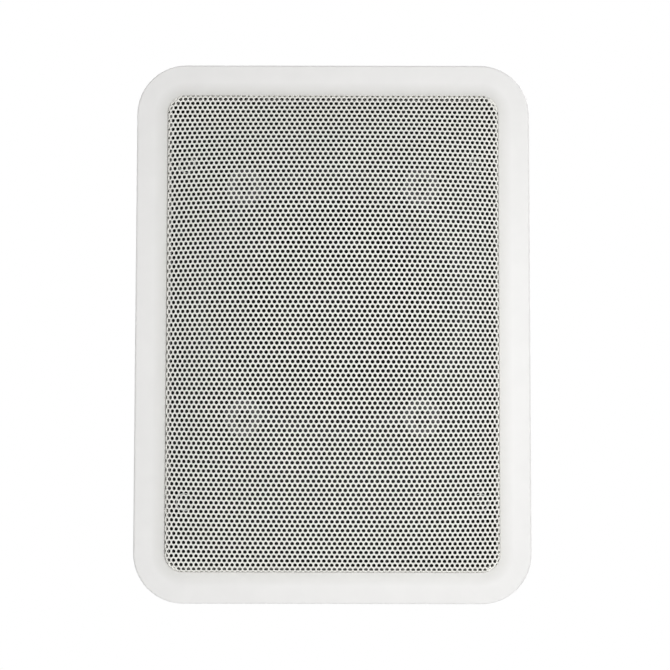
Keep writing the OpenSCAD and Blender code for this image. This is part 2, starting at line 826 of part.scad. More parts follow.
// A round wire through the points p, which never runs along x.
module wire(p, radius) {
    steps = 4;
    sides = 10;
    path = [
        for (i = [0 : len(p) - 2]) for (k = [0 : steps - 1]) curve_point(p, i, k / steps),
        p[len(p) - 1]];
    last = len(path) - 1;
    rings = [for (i = [0 : last])
        let (t = path[min(i + 1, last)] - path[max(i - 1, 0)],
            across = cross(t, [1, 0, 0]) / norm(cross(t, [1, 0, 0])),
            up = cross(t / norm(t), across))
        for (k = [0 : sides - 1])
            let (a = 360 * k / sides)
            path[i] + radius * (across * cos(a) + up * sin(a))];
    polyhedron(
        points = rings,
        faces = concat(
            [for (i = [0 : last - 1]) for (k = [0 : sides - 1]) let (n = (k + 1) % sides) each [
                [i * sides + k, (i + 1) * sides + k, (i + 1) * sides + n],
                [i * sides + k, (i + 1) * sides + n, i * sides + n]]],
            [[for (k = [0 : sides - 1]) k], [for (k = [sides - 1 : -1 : 0]) last * sides + k]]),
        convexity = 4);
}

// From the contact's upper end, out of the cup and up to the hole of the solder tag.
module lead(side) {
    start = [side * lever_spacing / 2, pin_y + contact_length,
        slot_floor - contact_thickness - lead_diameter / 2];
    cup_end = -terminal_drop + terminal_height / 2;
    end = strip_at + [side * tag_offset, tag_blade_y, tag_hole_rise - strip_size[2] - tag_blade];
    wire([start, [start[0], cup_end, start[2] - 0.3], [side * 8.5, cup_end + 10, start[2] - 3],
        end - [0, 9, 0.4], end - [0, 4, 0], end], lead_diameter / 2);
}

module lever_pin() {
    color(steel)
    translate([-terminal_width / 2 + 1, pin_y, pin_z])
        rotate([0, 90, 0]) cylinder(d = pin_diameter, h = terminal_width - 2);
}

module lever(side) {
    hub = pin_diameter / 2 + 1.6;
    length = terminal_height - lever_shortfall;
    outer = hub + lever_thickness;
    translate([side * lever_spacing / 2 - lever_width / 2, pin_y, pin_z])
        rotate([90, 0, 90])
            difference() {
                union() {
                    cylinder(r = hub, h = lever_width);
                    // The plate leans out towards its thumb pad.
                    linear_extrude(height = lever_width)
                        polygon([[0, hub], [-hub * 0.7, -hub * 0.7], [-1, -outer + 1.2],
                            [length - 7, -outer - 1.6], [length, -outer - 2], [length, -hub - 1.6],
                            [length - 7, -hub - 1.2], [length * 0.5, -hub * 0.3]]);
                    for (k = [0 : 2])
                        translate([length - 2 - 2 * k, -outer - 1.8, 0])
                            cylinder(r = 0.6, h = lever_width, $fn = 24);
                }
                translate([0, 0, -1])
                    cylinder(d = pin_diameter + 2 * running_play, h = lever_width + 2);
            }
}

module clamp_screw(i) {
    color(steel)
    at_clamp(i) translate([0, 0, ledge_top + 0.1])
        pan_screw(clamp_screw_diameter, 2 * clamp_head_radius, clamp_head_height, clamp_screw_length);
}

module clamp_nut(i) {
    color(brass)
    at_clamp(i) translate([0, 0, dog_bottom - nut_flange])
        difference() {
            union() {
                cylinder(r = nut_radius + 1.2, h = nut_flange);
                cylinder(r = nut_radius, h = dog_height - 2);
            }
            translate([0, 0, -1])
                cylinder(r = clamp_screw_diameter / 2 + running_play, h = dog_height + 2);
        }
}

module clamp_dog(i) {
    color([0.85, 0.85, 0.84])
    at_clamp(i) translate([0, 0, dog_bottom])
        difference() {
            union() {
                cylinder(r = hub_radius, h = dog_height);
                translate([0, -dog_width / 2, 0]) cube([dog_length - 2, dog_width, dog_height]);
                // The toe that bites the back of the ceiling board.
                translate([dog_length - 4, -dog_width / 2, dog_height * 0.3])
                    cube([4, dog_width, dog_height * 0.7]);
            }
            translate([0, 0, -1]) cylinder(r = nut_radius + running_play, h = dog_height + 2);
            for (sy = [-1, 1])
                translate([hub_radius + 3, sy * dog_width / 2 - 1.6, dog_height * 0.25])
                    cube([dog_length - hub_radius - 9, 3.2, dog_height * 0.5]);
        }
}

upright() front_frame();
upright() flange_seal();
upright() grille();
upright() baffle();
upright() baffle_screws();
upright() basket();
upright() gasket_ring();
upright() surround();
upright() cone();
upright() whizzer_cone();
upright() dust_cap();
upright() voice_coil_former();
upright() voice_coil();
upright() spider();
upright() top_plate();
upright() magnet();
upright() back_plate();
upright() terminal_strip();
upright() solder_tags();
upright() driver_screws();
upright() driver_washers();
upright() terminal_cup();
upright() terminal_screws();
upright() terminal_contacts();
upright() lever_pin();
color([0.75, 0.1, 0.1]) upright() lever(1);  // lever_red
color([0.1, 0.1, 0.1]) upright() lever(-1);  // lever_black
color([0.75, 0.1, 0.1]) upright() lead(1);  // lead_red
color([0.1, 0.1, 0.1]) upright() lead(-1);  // lead_black
upright() clamp_screw(0);  // clamp_screw_tl
upright() clamp_screw(1);  // clamp_screw_tr
upright() clamp_screw(2);  // clamp_screw_bl
upright() clamp_screw(3);  // clamp_screw_br
upright() clamp_nut(0);  // clamp_nut_tl
upright() clamp_nut(1);  // clamp_nut_tr
upright() clamp_nut(2);  // clamp_nut_bl
upright() clamp_nut(3);  // clamp_nut_br
upright() clamp_dog(0);  // clamp_dog_tl
upright() clamp_dog(1);  // clamp_dog_tr
upright() clamp_dog(2);  // clamp_dog_bl
upright() clamp_dog(3);  // clamp_dog_br
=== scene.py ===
"""A rectangular flush-mount ceiling speaker, dressed for a studio picture.

Lengths are in metres. Shapes are worked out in plan, as x across the flange, y up it and
z towards the listener, and placed() stands them up: z becomes -Y and y becomes Z.
"""
import math

import bmesh
import bpy
import numpy as np
from bpy.props import FloatProperty, FloatVectorProperty, PointerProperty
from bpy.types import Operator, Panel, PropertyGroup
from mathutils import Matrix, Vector


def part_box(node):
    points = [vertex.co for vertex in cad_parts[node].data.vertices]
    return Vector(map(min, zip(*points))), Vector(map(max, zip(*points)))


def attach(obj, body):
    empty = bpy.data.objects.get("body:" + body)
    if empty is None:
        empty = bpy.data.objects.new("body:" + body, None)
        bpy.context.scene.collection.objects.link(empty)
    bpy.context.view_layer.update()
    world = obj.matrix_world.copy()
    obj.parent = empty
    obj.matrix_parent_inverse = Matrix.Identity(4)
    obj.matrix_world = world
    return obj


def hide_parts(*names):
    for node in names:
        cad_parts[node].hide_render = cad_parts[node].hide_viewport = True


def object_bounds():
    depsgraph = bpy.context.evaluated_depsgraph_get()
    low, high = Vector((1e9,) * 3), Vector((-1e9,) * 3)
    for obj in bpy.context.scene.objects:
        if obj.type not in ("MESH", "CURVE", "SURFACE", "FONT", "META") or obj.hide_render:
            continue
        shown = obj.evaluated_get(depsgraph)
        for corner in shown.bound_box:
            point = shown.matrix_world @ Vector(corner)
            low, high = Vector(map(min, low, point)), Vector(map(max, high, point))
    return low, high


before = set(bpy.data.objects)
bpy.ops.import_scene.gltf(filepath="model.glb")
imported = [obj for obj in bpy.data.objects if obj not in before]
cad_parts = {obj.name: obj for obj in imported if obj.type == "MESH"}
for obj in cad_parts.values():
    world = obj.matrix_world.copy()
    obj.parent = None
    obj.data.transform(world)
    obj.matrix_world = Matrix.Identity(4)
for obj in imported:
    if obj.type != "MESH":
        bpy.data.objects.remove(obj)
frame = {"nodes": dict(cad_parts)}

bl_info = {
    "name": "Flush-mount ceiling speaker",
    "version": (1, 0, 0),
    "blender": (4, 5, 0),
    "location": "View3D > Sidebar > Speaker",
    "description": "Dresses a rectangular ceiling speaker: grille, frame, driver, clamps and terminals",
    "category": "Object",
}

CAD_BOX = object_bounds()
CORNERS = ("tl", "tr", "bl", "br")
MM = 0.001
# Points of a mesh that are closer than this are one point, in metres
MERGE_DISTANCE = 2e-6
# Neighbouring faces that turn by less than this are one flat face
FLAT_ANGLE = math.radians(0.6)


def sizes():
    """The sizes that the panel shows."""
    return bpy.context.scene.speaker_sizes


def colours():
    """The colours that the panel shows."""
    return bpy.context.scene.speaker_colours


# Geometry helpers


def placed(plan):
    """Turns plan points (x, y, z towards the listener) into the row frame: (x, -z, y)."""
    plan = np.asarray(plan, float)
    return np.stack([plan[..., 0], -plan[..., 2], plan[..., 1]], axis=-1)


def plan_box(node):
    """Lowest and highest corner of a CAD node, in plan: x, y, z towards the listener."""
    low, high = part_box(node)
    return np.array([low.x, low.z, -high.y]), np.array([high.x, high.z, -low.y])


def grid_faces(rows, columns, wrap_rows=False, wrap_columns=False):
    """Quads of a grid whose vertex (i, j) has the number i * columns + j."""
    i = np.arange(rows if wrap_rows else rows - 1)[:, None]
    j = np.arange(columns if wrap_columns else columns - 1)[None, :]
    i2 = (i + 1) % rows
    j2 = (j + 1) % columns
    quads = np.stack(np.broadcast_arrays(
        i * columns + j, i2 * columns + j, i2 * columns + j2, i * columns + j2), axis=-1)
    return quads.reshape(-1, 4)


def mesh_from_arrays(name, points, quads, triangles=None):
    """Puts point and face arrays into a new mesh in one go."""
    quads = np.asarray(quads, np.int32).reshape(-1, 4)
    triangles = np.zeros((0, 3), np.int32) if triangles is None else np.asarray(triangles, np.int32)
    corners = np.concatenate([quads.ravel(), triangles.ravel()])
    counts = np.concatenate([np.full(len(quads), 4), np.full(len(triangles), 3)]).astype(np.int32)
    starts = np.concatenate([[0], np.cumsum(counts)[:-1]]).astype(np.int32)
    mesh = bpy.data.meshes.new(name)
    mesh.vertices.add(len(points))
    mesh.vertices.foreach_set("co", np.asarray(points, np.float32).ravel())
    mesh.loops.add(len(corners))
    mesh.loops.foreach_set("vertex_index", corners.astype(np.int32))
    mesh.polygons.add(len(counts))
    mesh.polygons.foreach_set("loop_start", starts)
    mesh.update(calc_edges=True)
    mesh.validate()
    return mesh


def smooth_by_angle(mesh, degrees):
    """Smooth faces, with the edges that turn by more than the angle kept sharp."""
    mesh.polygons.foreach_set("use_smooth", np.ones(len(mesh.polygons), bool))
    mesh.set_sharp_from_angle(angle=math.radians(degrees))


def add_piece(name, mesh, look, body, stands_for=()):
    """Links a finished mesh as a piece of the speaker, riding on its body."""
    piece = bpy.data.objects.new(name, mesh)
    bpy.context.scene.collection.objects.link(piece)
    mesh.materials.clear()
    mesh.materials.append(look)
    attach(piece, body)
    if stands_for:
        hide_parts(*stands_for)
    return piece


def outward(mesh):
    """Recalculates the normals of a closed mesh, so that its faces point outwards."""
    work = bmesh.new()
    work.from_mesh(mesh)
    bmesh.ops.remove_doubles(work, verts=work.verts, dist=MERGE_DISTANCE)
    bmesh.ops.recalc_face_normals(work, faces=work.faces)
    work.to_mesh(mesh)
    work.free()


def dressed_copy(node, look, body, bevel=0.0, sharp=30):
    """A merged copy of a CAD node with smooth faces and, if asked, rounded edges."""
    work = bmesh.new()
    work.from_mesh(frame["nodes"][node].data)
    bmesh.ops.remove_doubles(work, verts=work.verts, dist=MERGE_DISTANCE)
    bmesh.ops.dissolve_degenerate(work, dist=MERGE_DISTANCE / 2, edges=work.edges)
    bmesh.ops.dissolve_limit(work, angle_limit=FLAT_ANGLE, verts=work.verts, edges=work.edges)
    mesh = bpy.data.meshes.new(node + "_dressed")
    work.to_mesh(mesh)
    work.free()
    smooth_by_angle(mesh, sharp)
    piece = add_piece(node + "_dressed", mesh, look, body, (node,))
    if bevel:
        rounding = piece.modifiers.new("edges", "BEVEL")
        rounding.width = bevel
        rounding.segments = 2
        rounding.limit_method = "ANGLE"
        rounding.angle_limit = math.radians(sharp)
        rounding.harden_normals = True
    return piece


# Materials


def new_material(name, colour, roughness, metallic=0.0, specular=0.5):
    """A Principled material and the things that its textures need."""
    look = bpy.data.materials.new(name)
    look.use_nodes = True
    tree = look.node_tree
    shader = tree.nodes["Principled BSDF"]
    shader.inputs["Base Color"].default_value = (*colour[:3], 1)
    shader.inputs["Roughness"].default_value = roughness
    shader.inputs["Metallic"].default_value = metallic
    shader.inputs["Specular IOR Level"].default_value = specular
    return look, tree, shader


def object_coordinates(tree, stretch=(1, 1, 1)):
    """Object coordinates, stretched along the axes."""
    coordinates = tree.nodes.new("ShaderNodeTexCoord")
    mapping = tree.nodes.new("ShaderNodeMapping")
    mapping.inputs["Scale"].default_value = stretch
    tree.links.new(coordinates.outputs["Object"], mapping.inputs["Vector"])
    return mapping.outputs["Vector"]


def noise(tree, where, scale, detail=3.0, roughness=0.5):
    """A noise texture read at the given coordinates."""
    texture = tree.nodes.new("ShaderNodeTexNoise")
    texture.inputs["Scale"].default_value = scale
    texture.inputs["Detail"].default_value = detail
    texture.inputs["Roughness"].default_value = roughness
    tree.links.new(where, texture.inputs["Vector"])
    return texture.outputs["Fac"]


def ranged(tree, value, low, high, from_low=0.3, from_high=0.7):
    """Spreads a texture's value over a range."""
    spread = tree.nodes.new("ShaderNodeMapRange")
    spread.inputs["From Min"].default_value = from_low
    spread.inputs["From Max"].default_value = from_high
    spread.inputs["To Min"].default_value = low
    spread.inputs["To Max"].default_value = high
    tree.links.new(value, spread.inputs["Value"])
    return spread.outputs["Result"]


def tinted(tree, value, first, second):
    """A colour between two, chosen by a texture's value."""
    blend = tree.nodes.new("ShaderNodeMix")
    blend.data_type = "RGBA"
    blend.inputs["A"].default_value = (*first[:3], 1)
    blend.inputs["B"].default_value = (*second[:3], 1)
    tree.links.new(value, blend.inputs["Factor"])
    return blend.outputs["Result"]


def bumped(tree, shader, height, strength, distance):
    """Raises the surface by a texture."""
    bump = tree.nodes.new("ShaderNodeBump")
    bump.inputs["Strength"].default_value = strength
    bump.inputs["Distance"].default_value = distance
    tree.links.new(height, bump.inputs["Height"])
    tree.links.new(bump.outputs["Normal"], shader.inputs["Normal"])


def shaded(colour, share):
    """The same colour, darker or lighter by a share."""
    return tuple(min(1.0, c * share) for c in colour[:3])


def grained(name, colour, roughness, scale, strength, distance, spread=0.04, specular=0.5,
            stretch=(1, 1, 1), rough_spread=0.06):
    """A surface with fine grain, slow colour drift and uneven gloss."""
    look, tree, shader = new_material(name, colour, roughness, 0.0, specular)
    where = object_coordinates(tree, stretch)
    fine = noise(tree, where, scale, 4.0, 0.6)
    slow = noise(tree, where, scale / 25, 2.0)
    dark, pale = shaded(colour, 1 - spread), shaded(colour, 1 + spread)
    tree.links.new(tinted(tree, ranged(tree, slow, 0, 1), dark, pale), shader.inputs["Base Color"])
    tree.links.new(ranged(tree, fine, roughness - rough_spread, roughness + rough_spread),
                   shader.inputs["Roughness"])
    bumped(tree, shader, fine, strength, distance)
    return look


def calculated(tree, operation, first, second=None):
    """One step of arithmetic on a texture's values; the second may be a number."""
    step = tree.nodes.new("ShaderNodeMath")
    step.operation = operation
    tree.links.new(first, step.inputs[0])
    if isinstance(second, (int, float)):
        step.inputs[1].default_value = second
    elif second is not None:
        tree.links.new(second, step.inputs[1])
    return step.outputs[0]


def painted_shade_round_grille(tree):
    """Share of painted shade on the flange: 1 at the grille's outline, fading over its reach.

    The painted shade stands for the grille's shadow on the flange. The distance from the
    rounded outline is the length of (|x| - a, |z| - b), each no less than 0, minus the corner
    radius. It counts on the flange's face alone."""
    s = sizes()
    _, high = plan_box("grille")
    place = tree.nodes.new("ShaderNodeSeparateXYZ")
    tree.links.new(object_coordinates(tree), place.inputs[0])
    squares = []
    for axis, edge in (("X", high[0]), ("Z", high[1])):
        beyond = calculated(tree, "SUBTRACT", calculated(tree, "ABSOLUTE", place.outputs[axis]),
                            float(edge) - s.grille_corner)
        squares.append(calculated(tree, "POWER", calculated(tree, "MAXIMUM", beyond, 0.0), 2.0))
    reach = calculated(tree, "SQRT", calculated(tree, "ADD", squares[0], squares[1]))
    near = ranged(tree, reach, 1.0, 0.0, s.grille_corner, s.grille_corner + s.painted_shade_reach)
    face = -float(plan_box("front_frame")[1][2])
    face_depth = 2 * MM
    in_front = ranged(tree, place.outputs["Y"], 1.0, 0.0, face, face + face_depth)
    return calculated(tree, "MULTIPLY", near, in_front)


def moulded_white(name, colour):
    """The frame's satin white plastic, greyed a little by painted shade round the grille."""
    look = grained(name, colour, roughness=0.46, scale=2200, strength=0.10, distance=0.00004,
                   spread=0.012, specular=0.3)
    tree = look.node_tree
    shader = tree.nodes["Principled BSDF"]
    unshaded_colour = shader.inputs["Base Color"].links[0].from_socket
    # Painted shade: the flange's colour is darkened round the grille, patchy with noise, for the grille's
    # shadow
    painted_shade_mask = calculated(tree, "MULTIPLY", painted_shade_round_grille(tree),
                        ranged(tree, noise(tree, object_coordinates(tree), 90.0), 0.75, 1.0))
    painted_shade_mix = tree.nodes.new("ShaderNodeMix")
    painted_shade_mix.data_type = "RGBA"
    painted_shade_mix.blend_type = "MULTIPLY"
    painted_shade_mix.inputs["B"].default_value = (*colours().dust[:3], 1)
    tree.links.new(painted_shade_mask, painted_shade_mix.inputs["Factor"])
    tree.links.new(unshaded_colour, painted_shade_mix.inputs["A"])
    tree.links.new(painted_shade_mix.outputs["Result"], shader.inputs["Base Color"])
    return look


def speckled(name, colour, grain_colour, roughness, scale):
    """Sintered ferrite: dark, with small brighter grains and chips."""
    look, tree, shader = new_material(name, colour, roughness)
    where = object_coordinates(tree)
    cells = tree.nodes.new("ShaderNodeTexVoronoi")
    cells.inputs["Scale"].default_value = scale
    tree.links.new(where, cells.inputs["Vector"])
    near = ranged(tree, cells.outputs["Distance"], 0.0, 1.0, 0.05, 0.5)
    tree.links.new(tinted(tree, near, grain_colour, colour), shader.inputs["Base Color"])
    tree.links.new(ranged(tree, noise(tree, where, scale / 3), roughness - 0.1, roughness + 0.1),
                   shader.inputs["Roughness"])
    bumped(tree, shader, cells.outputs["Distance"], 0.25, 0.0001)
    return look


def brushed(name, colour, roughness, stretch, scale):
    """Plated sheet with fine rolling marks along one direction."""
    look, tree, shader = new_material(name, colour, roughness, 1.0)
    lines = noise(tree, object_coordinates(tree, stretch), scale, 5.0, 0.7)
    clouds = noise(tree, object_coordinates(tree), scale / 6, 2.0)
    tree.links.new(tinted(tree, ranged(tree, clouds, 0, 1), shaded(colour, 0.86), shaded(colour, 1.06)),
                   shader.inputs["Base Color"])
    tree.links.new(ranged(tree, lines, roughness - 0.08, roughness + 0.12), shader.inputs["Roughness"])
    bumped(tree, shader, lines, 0.18, 0.00005)
    return look


def woven(name, colour, second, roughness, scale):
    """Treated cloth: two crossing sets of threads, in the plane of the flange."""
    look, tree, shader = new_material(name, colour, roughness, 0.0, 0.2)
    where = object_coordinates(tree)
    heights = []
    for direction in ("X", "Z"):
        wave = tree.nodes.new("ShaderNodeTexWave")
        wave.bands_direction = direction
        wave.inputs["Scale"].default_value = scale
        wave.inputs["Distortion"].default_value = 0.6
        tree.links.new(where, wave.inputs["Vector"])
        heights.append(wave.outputs["Fac"])
    weave = calculated(tree, "MAXIMUM", heights[0], heights[1])
    tree.links.new(tinted(tree, weave, second, colour), shader.inputs["Base Color"])
    tree.links.new(ranged(tree, noise(tree, where, 300.0), roughness - 0.1, roughness + 0.1),
                   shader.inputs["Roughness"])
    bumped(tree, shader, weave, 0.5, 0.0002)
    return look


def wound(name, colour, scale):
    """Enamelled wire: rings of wire, one above the other along the coil."""
    look, tree, shader = new_material(name, colour, 0.3, 0.9)
    wave = tree.nodes.new("ShaderNodeTexWave")
    wave.bands_direction = "Y"
    wave.inputs["Scale"].default_value = scale
    tree.links.new(object_coordinates(tree), wave.inputs["Vector"])
    between = shaded(colour, 0.5)
    tree.links.new(tinted(tree, wave.outputs["Fac"], between, colour), shader.inputs["Base Color"])
    bumped(tree, shader, wave.outputs["Fac"], 0.6, 0.0002)
    return look


def make_looks():
    """Every finish of the speaker, by name.

    The numbers of a grained finish are its roughness, the scale of its grain, the grain's
    strength and its height in metres, and the drift of its colour. Those of a brushed one are
    its roughness, the stretch of its marks and their scale. Cloth and wire end with a scale
    that is about a third of their threads or turns per metre."""
    c = colours()
    return {
        "white_plastic": moulded_white("white_plastic", c.frame),
        "grille_paint": grained("grille_paint", c.grille, 0.5, 1400, 0.16, 0.00006, 0.015,
                                specular=0.3),
        "black_plastic": grained("black_plastic", c.baffle, 0.55, 1700, 0.35, 0.00008, 0.1,
                                 specular=0.2),
        "black_steel": grained("black_steel", (0.016, 0.016, 0.017), 0.5, 900, 0.15, 0.00006, 0.12,
                               specular=0.25),
        "foam": grained("foam", (0.045, 0.045, 0.05), 0.95, 1500, 0.8, 0.0004, 0.3, specular=0.2),
        "gasket_board": grained("gasket_board", (0.02, 0.0195, 0.018), 0.9, 700, 0.5, 0.0002, 0.25,
                                specular=0.2),
        "surround_cloth": woven("surround_cloth", c.surround, shaded(c.surround, 0.6), 0.62, 420),
        "cone_paper": grained("cone_paper", (0.009, 0.0087, 0.008), 0.85, 520, 0.55, 0.0003, 0.3,
                              specular=0.2),
        "whizzer_paper": grained("whizzer_paper", c.whizzer, 0.8, 600, 0.45, 0.0002, 0.2, specular=0.2),
        "cap_cloth": woven("cap_cloth", (0.014, 0.014, 0.014), (0.006, 0.006, 0.006), 0.5, 500),
        "former_foil": brushed("former_foil", (0.74, 0.74, 0.75), 0.28, (1, 40, 1), 60),
        "coil_wire": wound("coil_wire", (0.55, 0.22, 0.09), 1500),
        "spider_cloth": woven("spider_cloth", (0.62, 0.42, 0.14), (0.35, 0.2, 0.05), 0.75, 330),
        "plated_steel": brushed("plated_steel", (0.66, 0.67, 0.69), 0.34, (30, 30, 1), 40),
        "dark_steel": brushed("dark_steel", (0.045, 0.044, 0.042), 0.5, (30, 30, 1), 40),
        "dull_steel": brushed("dull_steel", (0.10, 0.10, 0.10), 0.6, (30, 30, 1), 40),
        "ferrite": speckled("ferrite", (0.035, 0.035, 0.038), (0.10, 0.10, 0.105), 0.5, 900),
        "fibre_board": grained("fibre_board", (0.16, 0.065, 0.022), 0.55, 400, 0.2, 0.0001, 0.3,
                               stretch=(0.2, 1, 1)),
        "tag_brass": brushed("tag_brass", (0.72, 0.52, 0.22), 0.33, (1, 30, 1), 50),
        "red_plastic": grained("red_plastic", c.lever, 0.32, 1600, 0.08, 0.00003, 0.04),
        "lever_black": grained("lever_black_plastic", (0.02, 0.02, 0.021), 0.3, 1600, 0.08, 0.00003, 0.1),
        "dog_plastic": grained("dog_plastic", (0.62, 0.62, 0.6), 0.45, 1500, 0.15, 0.00005, 0.03),
    }


LOOKS = {}


def look(name):
    """One finish, made with all the others when the first is asked for."""
    if not LOOKS:
        LOOKS.update(make_looks())
    return LOOKS[name]


# Settings


class SpeakerSizes(PropertyGroup):
    """Sizes of the pieces that are modelled here."""

    hole_pitch: FloatProperty(name="Hole pitch", description="Spacing of the perforations",
                              default=2.878 * MM, unit="LENGTH")
    hole_diameter: FloatProperty(name="Hole diameter", description="Diameter of the perforations",
                                 default=2.1 * MM, unit="LENGTH")
    lattice_x: FloatProperty(name="Lattice offset across", description="Place of the middle hole",
                             default=0.02 * MM, unit="LENGTH")
    lattice_y: FloatProperty(name="Lattice offset up", description="Place of the middle row",
                             default=0.75 * MM, unit="LENGTH")
    lattice_turn: FloatProperty(name="Lattice turn", description="Turn of the perforations on the sheet",
                                default=math.radians(-0.13), unit="ROTATION")
    crown_rise: FloatProperty(name="Crown", description="Rise of the grille's middle above its edge",
                              default=12 * MM, unit="LENGTH")
    crown_power: FloatProperty(name="Crown shape", default=3.0,
                               description="Power of the crown's curve: 2 is a bowl, more is flatter")
    grille_fold: FloatProperty(name="Fold radius", description="Outer radius of the grille's folded edge",
                               default=1.5 * MM, unit="LENGTH")
    grille_corner: FloatProperty(name="Grille corner", description="Corner radius of the grille in plan",
                                 default=9.7 * MM, unit="LENGTH")
    clamp_thread: FloatProperty(name="Clamp thread", default=4.0 * MM, unit="LENGTH",
                                description="Major diameter of the clamp screws' thread")
    thread_depth: FloatProperty(name="Thread depth", description="Depth of the clamp screws' thread",
                                default=0.55 * MM, unit="LENGTH")
    clamp_lead: FloatProperty(name="Thread lead", description="Travel of a nut in one turn of its screw",
                              default=1.7 * MM, unit="LENGTH")
    clamp_head_height: FloatProperty(name="Clamp head", description="Height of the clamp screws' heads",
                                     default=2.7 * MM, unit="LENGTH")
    # How far the painted shade, standing for the grille's shadow, darkens the flange round the grille
    painted_shade_reach: FloatProperty(name="Dust", default=8 * MM, unit="LENGTH",
                              description="How far the dust round the grille reaches over the flange")
    grille_sheet: FloatProperty(name="Grille sheet", description="Thickness of the grille's steel",
                                default=1.0 * MM, unit="LENGTH")


class SpeakerColours(PropertyGroup):
    """Colours of the finishes."""

    frame: FloatVectorProperty(name="Frame", description="White plastic of the frame", subtype="COLOR",
                               size=3, default=(0.80, 0.795, 0.785), min=0, max=1)
    grille: FloatVectorProperty(name="Grille", description="Paint of the grille", subtype="COLOR",
                                size=3, default=(0.87, 0.862, 0.815), min=0, max=1)
    baffle: FloatVectorProperty(name="Baffle", description="Black plastic behind the grille",
                                subtype="COLOR", size=3, default=(0.005, 0.0047, 0.0036), min=0, max=1)
    surround: FloatVectorProperty(name="Surround", description="Doped cloth of the roll", subtype="COLOR",
                                  size=3, default=(0.012, 0.012, 0.0115), min=0, max=1)
    whizzer: FloatVectorProperty(name="Whizzer cone", description="Paper of the small cone",
                                 subtype="COLOR", size=3, default=(0.014, 0.014, 0.013), min=0, max=1)
    # Colour multiplied into the flange as painted shade round the grille
    dust: FloatVectorProperty(name="Dust", description="Dust on the flange round the grille",
                              subtype="COLOR", size=3, default=(0.80, 0.80, 0.78), min=0, max=1)
    lever: FloatVectorProperty(name="Red lever", description="Plastic of the red lever", subtype="COLOR",
                               size=3, default=(0.55, 0.015, 0.012), min=0, max=1)
    floor: FloatVectorProperty(name="Floor", description="Floor under the speaker", subtype="COLOR",
                               size=3, default=(0.78, 0.78, 0.78), min=0, max=1)


class SpeakerView(PropertyGroup):
    """The camera and the lamps."""

    distance: FloatProperty(name="Distance", description="From the flange's face to the camera",
                            default=0.6, unit="LENGTH")
    tilt: FloatProperty(name="Tilt", description="Angle of the camera above the place it looks at",
                        default=math.radians(-2.4), unit="ROTATION")
    lens: FloatProperty(name="Lens", description="Focal length on the 36 mm sensor, in millimetres",
                        default=58.0)
    aim_x: FloatProperty(name="Aim across", description="Where the camera looks, across", default=1.28 * MM,
                         unit="LENGTH")
    aim_y: FloatProperty(name="Aim up", description="Where the camera looks, up", default=-1.7 * MM,
                         unit="LENGTH")
    roll: FloatProperty(name="Roll", description="Turn of the camera about its own axis",
                        default=math.radians(0.1), unit="ROTATION")
    floor_gap: FloatProperty(name="Floor gap", description="From the flange's lower edge down to the floor",
                             default=0.35, unit="LENGTH")
    floor_half: FloatProperty(name="Floor size", description="Half the width of the floor",
                              default=3.0, unit="LENGTH")
    floor_white: FloatProperty(name="Floor white", default=0.5, min=0, max=1,
                               description="Share of plain white in the floor near the speaker")
    fade_start: FloatProperty(name="Fade start", description="Where the floor starts to turn plain white",
                              default=0.5, unit="LENGTH")
    fade_end: FloatProperty(name="Fade end", description="Where the floor is plain white",
                            default=0.95, unit="LENGTH")
    key_power: FloatProperty(name="Key lamp", description="Power of the lamp near the camera", default=7.85)
    side_power: FloatProperty(name="Side lamp", default=7.0,
                              description="Power of the lamp on the right, behind the flange")
    back_power: FloatProperty(name="Back lamp", description="Power of the large lamp behind", default=9.5)
    fill: FloatProperty(name="Fill", description="Brightness of the surroundings in front", default=0.45)
    back_share: FloatProperty(name="Back share", default=0.45,
                              description="Brightness at the sides and behind, as a share of the fill")


# Grille

# A hole has eight points in front and four behind
FRONT_POINTS = 8
BACK_POINTS = 4
HOLE_POINTS = FRONT_POINTS + BACK_POINTS
# The front points stand a little outside the hole's circle, to make up for their flat sides
FRONT_SPREAD = 1 / math.cos(math.radians(11))
# The back points stand this many times as far from the hole's middle as the front ones
BACK_SPREAD = 1.36
# Twice the area of the smallest face that is kept, in square metres
SMALLEST_FACE = 1e-11


def crown(x, y, half_x, half_y, rise, power):
    """Height of the crown: the rise times, for each axis, 1 - |share of the half size| ** power."""
    across = 1 - np.clip(np.abs(x) / half_x, 0, 1) ** power
    along = 1 - np.clip(np.abs(y) / half_y, 0, 1) ** power
    return rise * across * along


def along_the_curve(distance, half, rise, power, steps=800):
    """Turns distances measured on the curved sheet into distances in plan.

    The curve's length is the sum of sqrt(1 + slope squared), and past the edge the
    distance goes on straight."""
    share = np.linspace(0, 1, steps)
    slope = rise * power * share ** (power - 1) / half
    step = np.sqrt(1 + slope ** 2) * half / (steps - 1)
    length = np.concatenate([[0], np.cumsum((step[1:] + step[:-1]) / 2)])
    size = np.abs(distance)
    plan = np.interp(size, length, share * half) + np.maximum(size - length[-1], 0)
    return np.sign(distance) * plan, length[-1]


